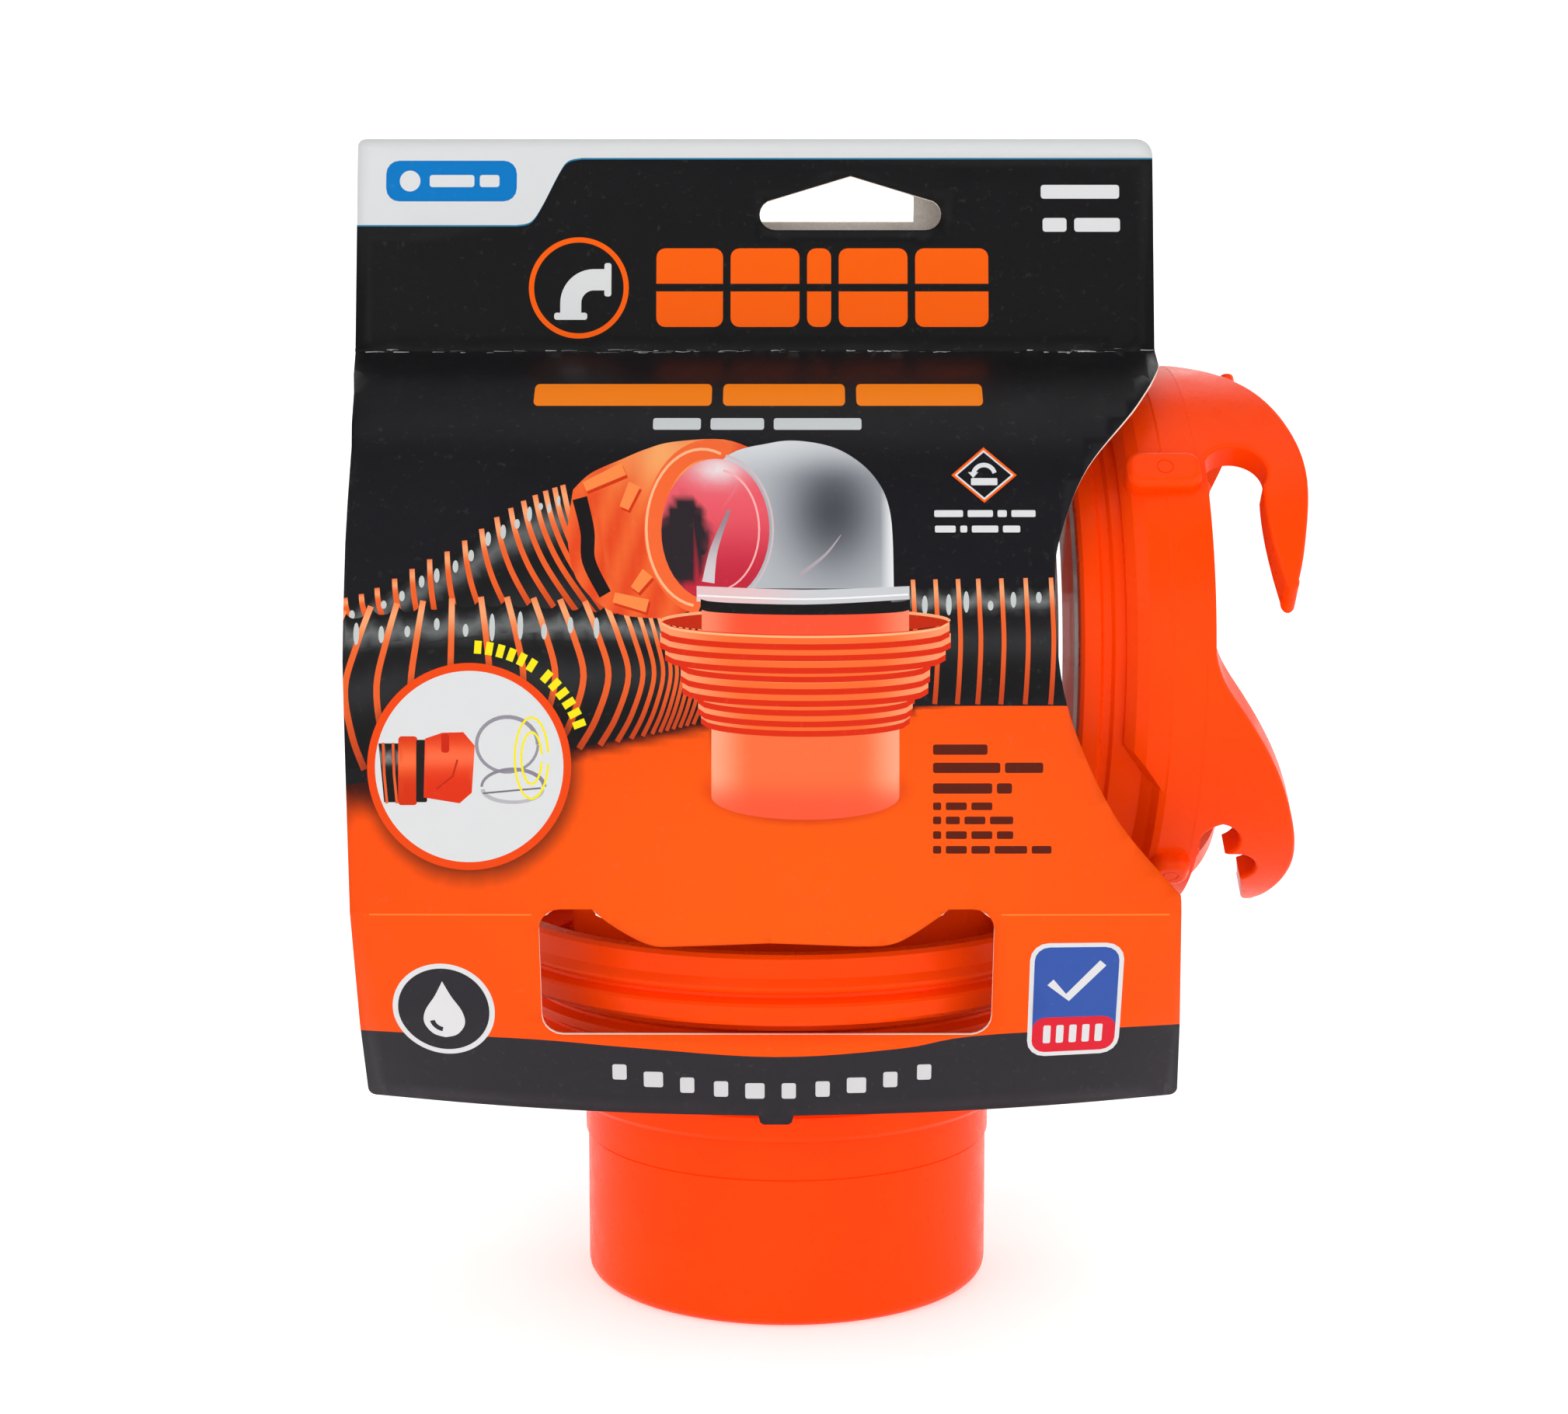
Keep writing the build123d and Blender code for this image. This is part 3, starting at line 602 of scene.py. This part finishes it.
def picture_adapter(sheet):
    """Printed picture of the stepped adapter under the dome."""
    axis = 3.2

    def collar(x, z, _):
        u = (x - axis) / 17.8
        return mix((252, 84, 52), (255, 138, 104), ease(0.6, 1.0, abs(u)))

    sheet.paint(ellipse(axis, 131.9, 24.9, 2.0, steps=60), (196, 40, 6))
    sheet.paint(stroke(ellipse(axis, 131.9, 24.9, 2.0, start=0, end=180, steps=40), 0.5), (255, 168, 118))
    sheet.paint(arc_band(17.9, 134.4, 0.9, 4.6), collar)
    sheet.paint(arc_band(18.1, 135.6, 0.9, 1.75), (22, 20, 22))

    def sleeve(x, z, _):
        u = (x - axis) / 16.2
        side = ease(0.55, 1.0, abs(u))
        base = mix((255, 112, 62), (255, 168, 132), side)
        return mix(base, (250, 84, 54), 0.8 * ease(106, 100, z))

    shadow = ellipse(axis, 103.4, 19.5, 6.6, steps=40)
    sheet.tint(shadow, lambda x, z, below: mix(
        (196, 44, 0), below, ease(0.62, 1.0, hypot((x - axis) / 19.5, (z - 103.4) / 6.6))))
    low = [(axis + 16.2 * cos(radians(a)), 102.2 + 4.0 * sin(radians(a))) for a in range(180, 361, 6)]
    sheet.paint([(axis - 16.2, 117.4)] + low + [(axis + 16.2, 117.4)], sleeve)
    rows = [(24.9, 131.9), (25.1, 130.0), (24.2, 127.9), (21.6, 126.4), (21.5, 124.3), (21.2, 122.3),
            (18.6, 120.7), (18.5, 118.8), (18.0, 117.2)]
    for half, z in reversed(rows):
        sheet.paint(arc_band(half, z, 2.3, 2.6), lambda x, z, _: (226, 44, 8))
        sheet.paint(arc_band(half, z - 0.1, 2.3, 1.5), lambda x, z, _, h=half: mix(
            (255, 110, 48), (255, 156, 110), ease(0.45, 1.0, abs(x - axis) / h)))
        sheet.paint(arc_band(half - 0.1, z - 0.2, 2.3, 0.34), (255, 186, 134))


def picture_inset(sheet):
    """Round inset that shows the hose end drawn off the elbow, with a row of yellow dashes."""
    cx, cz, radius = -54.75, 107.25, 17.6
    sheet.tint(ellipse(cx + 0.4, cz - 1.0, radius + 2.6, steps=60), lambda x, z, below: mix(
        (40, 12, 6), below, 0.45 + 0.55 * ease(radius - 1.5, radius + 2.6, hypot(x - cx - 0.4, z - cz + 1))))
    sheet.paint(ellipse(cx, cz, radius, steps=90), (243, 72, 8))
    sheet.paint(ellipse(cx, cz, radius - 1.35, steps=90), PAPER)
    hose = [(-70.4, 111.2), (-66.6, 111.2), (-66.2, 101.2), (-69.4, 101.2)]
    sheet.paint(hose, lambda x, z, _: mix((20, 20, 20), (150, 150, 150), exp(-((z - 108.6) / 1.0) ** 2)))
    for x in (-69.6, -67.9):
        sheet.paint(stroke([(x, 111.3), (x + 0.2, 106), (x + 0.7, 101.0)], 0.45), (236, 96, 44))
    sheet.paint(rounded(-67.0, 100.7, -63.7, 112.4, 0.6), lambda x, z, _: mix(
        (214, 50, 10), (255, 112, 60), exp(-((z - 108.4) / 2.6) ** 2)))
    sheet.paint(rounded(-63.9, 101.2, -62.0, 111.8, 0.3), (30, 24, 24))
    shell = [(-62.6, 102.0), (-56.4, 101.0), (-54.3, 102.8), (-53.8, 110.8), (-55.8, 113.1),
             (-59.4, 113.0), (-62.4, 112.0)]
    sheet.paint(shell, lambda x, z, _: mix((226, 50, 14), (255, 108, 66), exp(-((z - 109) / 2.4) ** 2)))
    sheet.paint(rounded(-59.6, 109.6, -58.2, 112.8, 0.5), (206, 40, 10))
    sheet.paint(stroke([(-60.4, 103.4), (-57.6, 105.6), (-56.8, 108.4)], 0.35), (196, 40, 10))
    for x, z, rx, rz, start, end, tone in ((-48.2, 111.0, 5.3, 4.7, 0, 359, (150, 146, 156)),
                                           (-47.2, 103.8, 5.4, 3.0, 0, 180, (140, 134, 146)),
                                           (-47.2, 103.4, 5.2, 2.2, 180, 360, (186, 184, 190))):
        sheet.paint(stroke(ellipse(x, z, rx, rz, start=start, end=end, steps=34), 0.75, 0.45), tone)
    sheet.paint(stroke([(-52.4, 102.7), (-47, 103.2), (-42.4, 103.6)], 0.3), (120, 112, 124))
    for rx, rz in ((2.9, 6.9), (1.75, 4.4)):
        sheet.paint(stroke(ellipse(-44.0, 108.7, rx, rz, start=8, end=352, steps=44), 0.38), YELLOW)
    for i in range(12):
        turn = radians(86 - 5.6 * i - (3.4 if i > 5 else 0))
        x, z = cx + 20.3 * cos(turn), cz + 20.3 * sin(turn)
        ux, uz = -sin(turn), cos(turn)
        dash = [(x + ux * a + cos(turn) * b, z + uz * a + sin(turn) * b)
                for a, b in ((-0.62, -1.1), (0.62, -1.1), (0.62, 1.1), (-0.62, 1.1))]
        sheet.paint(dash, YELLOW)


def low_print(sheet):
    """Round emblem, badge and spaced dashes along the lower edge."""
    emblem(sheet, -60.1, 63.6, 9.05, PAPER, STRIP, drop_mark)
    sheet.paint(rounded(42.2, 54.6, 58.6, 76.7, 3.2), PAPER)
    sheet.paint(rounded(43.0, 55.4, 57.8, 75.9, 2.6), (56, 88, 170))
    sheet.paint(rounded(43.0, 55.4, 57.8, 62.4, 2.4), (222, 34, 52))
    for i in range(5):
        sheet.paint(rounded(45.0 + 2.3 * i, 57.2, 46.3 + 2.3 * i, 60.8, 0.3), PAPER)
    tick = [(45.9, 69.2), (49.0, 66.2), (55.0, 72.8)]
    sheet.paint(stroke(tick, 1.5), PAPER)
    for i in range(10):
        x = -29.4 + 5.95 * i
        z = 49.0 + 3.6 * ((x + 2.6) / 28) ** 2
        wide = 1.7 if i % 3 == 1 else 1.25
        sheet.paint(rounded(x - wide, z - 1.5, x + wide, z + 1.5, 0.4), (214, 214, 216))


def fold_cracks_and_crease_line(sheet, seed):
    """White cracks in the varnish along the header's fold, and a faint line at the crease."""
    chance = random.Random(seed)
    for _ in range(70):
        x = chance.uniform(-77, 66)
        z = FOLD_Z - 0.35 + chance.uniform(-0.25, 0.25) + 0.5 * ease(52, 66, x)
        long, wide = chance.uniform(0.4, 3.6), chance.uniform(0.04, 0.2)
        tone = chance.randint(90, 215)
        sheet.paint(stroke([(x, z), (x + long / 2, z + chance.uniform(-0.12, 0.12)), (x + long, z)],
                           wide, wide * 0.4), (tone, tone, tone))
    # A faint lighter orange line just under the crease, on each side of the window.
    for start, end in ((-72, -44), (37, 66)):
        sheet.tint(rounded(start, CREASE_Z - 0.55, end, CREASE_Z - 0.3, 0.05),
                   lambda x, z, below: mix(below, (255, 190, 120), 0.45))


def front_sheet(materials):
    creases = [crossing(FOLD_Z + 0.1), crossing(FOLD_Z - 0.4), crossing(CREASE_Z)]
    sheet = Sheet(sleeve_outline(True), [window(True), hang_hole()], creases,
                  sleeve_depth(FRONT_UPPER, -1), -1)
    sheet.fine = [(-80, 100, 48, 163, 1.3), (-74, 90, -36, 126, 1.0)]
    fields(sheet)
    header_print(sheet)
    captions(sheet)
    picture_hoses(sheet)
    picture_coupler(sheet)
    picture_elbow(sheet)
    picture_adapter(sheet)
    picture_inset(sheet)
    low_print(sheet)
    fold_cracks_and_crease_line(sheet, 11)
    piece = sheet.build("sleeve_front", None, materials)
    hinge = Vector(FLAP["pos_m"])
    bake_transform(piece)
    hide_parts("card_front", "card_header")
    return piece


def back_sheet(materials):
    creases = [crossing(FOLD_Z + 0.1), crossing(FOLD_Z - 0.4), crossing(CREASE_Z)]
    sheet = Sheet(sleeve_outline(False), [window(False), back_hang_hole()], creases,
                  sleeve_depth(BACK_UPPER, 1), 1)
    for low, high, ink in ((30, 230, NIGHT), (30, 117.5, ORANGE), (30, 58.6, STRIP), (211.5, 230, PAPER)):
        sheet.paint(band(low, high), ink)
    for x, width in ((-42, 30), (-9, 18), (12, 26)):
        sheet.paint(rounded(x, 184, x + width, 191, 1.2), TITLE)
    for column, x in enumerate((-68.0, -18.0)):
        bars(sheet, x, 158, 2.2, (16, 11), GOLD)
        for row in range(6):
            widths = [6 + (row * 5 + k * 7 + column * 3) % 6 for k in range(4)]
            bars(sheet, x, 152.5 - 4.2 * row, 1.5, widths, GREY, gap=1.2)
    for row in range(5):
        bars(sheet, -66, 108 - 4.4 * row, 1.7, [7 + (row * 4 + k * 5) % 7 for k in range(5)], BROWN)
    fold_cracks_and_crease_line(sheet, 23)
    piece = sheet.build("sleeve_back", "elbow", materials)
    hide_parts("card_back")
    return piece


# ---- materials -----------------------------------------------------------------
def material(name):
    made = bpy.data.materials.new(name)
    made.use_nodes = True
    tree = made.node_tree
    shader = tree.nodes["Principled BSDF"]
    place = tree.nodes.new("ShaderNodeTexCoord")
    return made, tree, shader, place.outputs["Object"]


def noise(tree, coords, per_metre, detail=3.0, rough=0.55):
    node = tree.nodes.new("ShaderNodeTexNoise")
    node.inputs["Scale"].default_value = per_metre
    node.inputs["Detail"].default_value = detail
    node.inputs["Roughness"].default_value = rough
    tree.links.new(coords, node.inputs["Vector"])
    return node.outputs["Fac"]


def ranged(tree, value, low, high, start=0.3, end=0.7):
    node = tree.nodes.new("ShaderNodeMapRange")
    for socket, amount in (("From Min", start), ("From Max", end), ("To Min", low), ("To Max", high)):
        node.inputs[socket].default_value = amount
    tree.links.new(value, node.inputs["Value"])
    return node.outputs["Result"]


def blended(tree, share, first, second):
    """Colour between two, where first may be a colour or a socket."""
    node = tree.nodes.new("ShaderNodeMix")
    node.data_type = "RGBA"
    tree.links.new(share, node.inputs["Factor"])
    for socket, colour in ((node.inputs["A"], first), (node.inputs["B"], second)):
        if hasattr(colour, "links"):
            tree.links.new(colour, socket)
        else:
            socket.default_value = (*colour, 1)
    return node.outputs["Result"]


def bump(tree, shader, height, depth_mm):
    node = tree.nodes.new("ShaderNodeBump")
    node.inputs["Distance"].default_value = depth_mm * MM
    tree.links.new(height, node.inputs["Height"])
    tree.links.new(node.outputs["Normal"], shader.inputs["Normal"])


def orange_plastic():
    """Moulded polypropylene: even colour, faint flow marks, satin skin, a little light inside."""
    made, tree, shader, coords = material("moulded_orange")
    flow = noise(tree, coords, 38, 2)
    tint = blended(tree, ranged(tree, flow, 0, 1), (1.0, 0.060, 0.0005), (0.97, 0.052, 0.0003))
    tree.links.new(tint, shader.inputs["Base Color"])
    tree.links.new(ranged(tree, noise(tree, coords, 240), 0.24, 0.36), shader.inputs["Roughness"])
    shader.inputs["Subsurface Weight"].default_value = 0.06
    shader.inputs["Subsurface Radius"].default_value = (1.0, 0.2, 0.02)
    shader.inputs["Subsurface Scale"].default_value = 0.8 * MM
    shader.inputs["Specular IOR Level"].default_value = 0.08
    bump(tree, shader, noise(tree, coords, 1500, 2), 0.002)
    return made


def clear_plastic():
    """Clear moulded elbow with a faint smoke tint and polished skin."""
    made, tree, shader, coords = material("clear_moulded")
    shader.inputs["Transmission Weight"].default_value = 1.0
    shader.inputs["IOR"].default_value = 1.49
    haze = noise(tree, coords, 60, 2)
    tree.links.new(blended(tree, ranged(tree, haze, 0, 1), (0.96, 0.97, 0.98), (0.90, 0.92, 0.94)),
                   shader.inputs["Base Color"])
    tree.links.new(ranged(tree, noise(tree, coords, 300), 0.03, 0.09), shader.inputs["Roughness"])
    bump(tree, shader, noise(tree, coords, 120, 2), 0.02)
    return made


def black_rubber():
    made, tree, shader, coords = material("black_rubber")
    dust = noise(tree, coords, 420, 4)
    tree.links.new(blended(tree, ranged(tree, dust, 0, 1), (0.012, 0.012, 0.013), (0.03, 0.03, 0.031)),
                   shader.inputs["Base Color"])
    tree.links.new(ranged(tree, dust, 0.5, 0.66), shader.inputs["Roughness"])
    shader.inputs["Specular IOR Level"].default_value = 0.25
    bump(tree, shader, noise(tree, coords, 2200, 2), 0.02)
    return made


def natural_nylon():
    made, tree, shader, coords = material("natural_nylon")
    cloud = noise(tree, coords, 90, 2)
    tree.links.new(blended(tree, ranged(tree, cloud, 0, 1), (0.78, 0.75, 0.66), (0.70, 0.66, 0.56)),
                   shader.inputs["Base Color"])
    tree.links.new(ranged(tree, cloud, 0.35, 0.48), shader.inputs["Roughness"])
    shader.inputs["Subsurface Weight"].default_value = 0.2
    shader.inputs["Subsurface Scale"].default_value = 1.0 * MM
    bump(tree, shader, noise(tree, coords, 900, 2), 0.01)
    return made


def printed_board():
    """Varnished ink: the drawn colours with press mottle, faint rub marks and paper tooth."""
    made, tree, shader, coords = material("printed_board")
    drawn = tree.nodes.new("ShaderNodeVertexColor")
    drawn.layer_name = "print"
    rub = noise(tree, coords, 700, 4, 0.7)
    worn = blended(tree, ranged(tree, rub, 0, 0.05, 0.60, 0.80), drawn.outputs["Color"], (0.5, 0.48, 0.46))
    tree.links.new(worn, shader.inputs["Base Color"])
    tree.links.new(ranged(tree, noise(tree, coords, 130), 0.34, 0.44), shader.inputs["Roughness"])
    shader.inputs["Specular IOR Level"].default_value = 0.1
    bump(tree, shader, noise(tree, coords, 1300, 3), 0.006)
    return made


def raw_board(name, light, dark):
    """Unprinted board: short grey and cream fibres."""
    made, tree, shader, coords = material(name)
    fibre = noise(tree, coords, 1800, 5, 0.7)
    tree.links.new(blended(tree, ranged(tree, fibre, 0, 1), light, dark), shader.inputs["Base Color"])
    tree.links.new(ranged(tree, fibre, 0.75, 0.95), shader.inputs["Roughness"])
    bump(tree, shader, fibre, 0.03)
    return made


def studio_paper(name, glow):
    made, tree, shader, coords = material(name)
    grain = noise(tree, coords, 25, 3)
    tree.links.new(blended(tree, ranged(tree, grain, 0, 1), (0.93, 0.93, 0.93), (0.91, 0.91, 0.91)),
                   shader.inputs["Base Color"])
    shader.inputs["Roughness"].default_value = 0.8
    shader.inputs["Specular IOR Level"].default_value = 0.1
    shader.inputs["Emission Color"].default_value = (1, 1, 1, 1)
    shader.inputs["Emission Strength"].default_value = glow
    return made


# ---- studio --------------------------------------------------------------------
def studio():
    """Round pale floor that curves up into a low lit wall, and soft lamps round the object."""
    flat, curl, rise, around = 2.2, 0.6, 1.5, 72
    line = [(0.01, 0), (0.5, 0), (1.2, 0)]
    line += [(flat + curl * sin(radians(a)), curl - curl * cos(radians(a))) for a in range(0, 91, 9)]
    line.append((flat + curl, rise))
    turns = [2 * pi * k / around for k in range(around)]
    verts = [(r * cos(t), r * sin(t), z) for r, z in line for t in turns]
    faces = [(i * around + k, i * around + (k + 1) % around,
              (i + 1) * around + (k + 1) % around, (i + 1) * around + k)
             for i in range(len(line) - 1) for k in range(around)]
    faces.append(tuple(range(around)))
    mesh = bpy.data.meshes.new("backdrop")
    mesh.from_pydata(verts, [], faces)
    mesh.polygons.foreach_set("use_smooth", [True] * len(faces))
    mesh.materials.append(studio_paper("studio_floor", 0.42))
    mesh.materials.append(studio_paper("studio_wall", 0.65))
    for face in mesh.polygons:
        face.material_index = int(face.index < len(faces) - 1 and face.index // around >= 3)
    floor = bpy.data.objects.new("backdrop", mesh)
    bpy.context.scene.collection.objects.link(floor)

    world = bpy.data.worlds.new("studio")
    world.use_nodes = True
    world.node_tree.nodes["Background"].inputs["Color"].default_value = (1, 1, 1, 1)
    world.node_tree.nodes["Background"].inputs["Strength"].default_value = 0.35
    bpy.context.scene.world = world
    lamps = (("key", (-0.75, -0.85, 0.95), 0.7, 2.2), ("fill", (0.95, -0.7, 0.55), 0.8, 1.2),
             ("top", (0.1, -0.1, 1.3), 0.9, 3.2), ("rim", (0.5, 0.9, 0.9), 0.7, 2.2))
    for name, place, size, watts in lamps:
        data = bpy.data.lights.new(name, "AREA")
        data.size = size
        data.energy = watts
        lamp = bpy.data.objects.new(name, data)
        lamp.location = place
        lamp.rotation_euler = (Vector((0, 0, 0.11)) - Vector(place)).to_track_quat("-Z", "Y").to_euler()
        bpy.context.scene.collection.objects.link(lamp)


def camera():
    """Level with the header and looking a little down, square to the sleeve."""
    distance, height, pitch, turn = 609.7, 203.0, 8.75, 0.05
    data = bpy.data.cameras.new("camera")
    data.sensor_width = 36
    data.lens = 74.93
    seat = bpy.data.objects.new("camera", data)
    seat.location = (-INWARD * distance + Vector((0, 0, height))) * MM
    seat.rotation_euler = (radians(90 - pitch), 0, atan2(ACROSS.y, ACROSS.x) + radians(turn))
    bpy.context.scene.collection.objects.link(seat)
    bpy.context.scene.camera = seat


def dress(materials):
    for node, made in materials.items():
        mesh = frame["nodes"][node].data
        mesh.materials.clear()
        mesh.materials.append(made)


camera()
studio()
bpy.context.scene.view_settings.view_transform = "Standard"
ORANGE_PLASTIC, RUBBER = orange_plastic(), black_rubber()
INNER = raw_board("board_inside", (0.62, 0.57, 0.52), (0.50, 0.45, 0.40))
EDGE = raw_board("board_edge", (0.95, 0.86, 0.74), (0.86, 0.74, 0.60))
PRINTED = printed_board()
dress({
    "stepped_adapter": ORANGE_PLASTIC, "elbow_collar": ORANGE_PLASTIC, "bayonet_ring": ORANGE_PLASTIC,
    "adapter_seal": RUBBER, "collar_gasket": RUBBER, "swivel_seal": RUBBER, "mouth_gasket": RUBBER,
    "clear_elbow": clear_plastic(), "swivel_retainer": natural_nylon(), "card_bottom": INNER,
})
front_sheet([PRINTED, INNER, EDGE])
back_sheet([PRINTED, INNER, EDGE])
